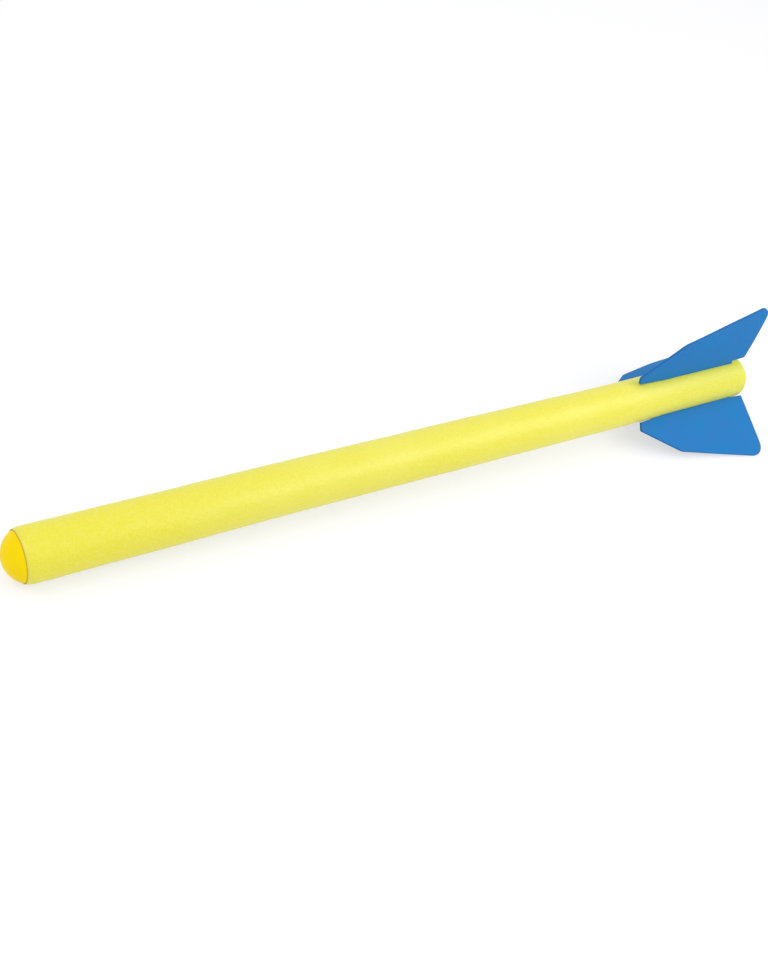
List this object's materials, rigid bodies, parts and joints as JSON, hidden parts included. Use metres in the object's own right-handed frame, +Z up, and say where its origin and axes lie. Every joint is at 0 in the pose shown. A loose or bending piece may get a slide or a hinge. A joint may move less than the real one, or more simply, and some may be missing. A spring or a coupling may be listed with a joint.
{
  "type": "foam javelin",
  "caption": "Soft foam javelin for throwing practice: a round foam shaft with a domed rubber nose and swept fins at its tail.",
  "frame": {"origin": "Centre of the underside of the bounding box: midway between the nose and the fins' rear tips, level with the tips of the two lower fins.", "axes": "The shaft's axis is level along X, with the nose and the direction of flight towards -X and the fins at +X. +Z is up, along the top fin. +Y is to the right of a thrower who looks along the flight."},
  "size_m": [0.9004, 0.1748, 0.1514],
  "materials": {
    "foam": "closed-cell polyethylene foam with a fine pebbled skin",
    "nose_rubber": "smooth moulded rubber with a soft sheen",
    "fin_sheet": "matt die-cut foam sheet"
  },
  "bodies": {
    "root": {"foam_shaft": "foam", "nose_cap": "nose_rubber", "fin_top": "fin_sheet", "fin_left": "fin_sheet", "fin_right": "fin_sheet"}
  },
  "joints": []
}
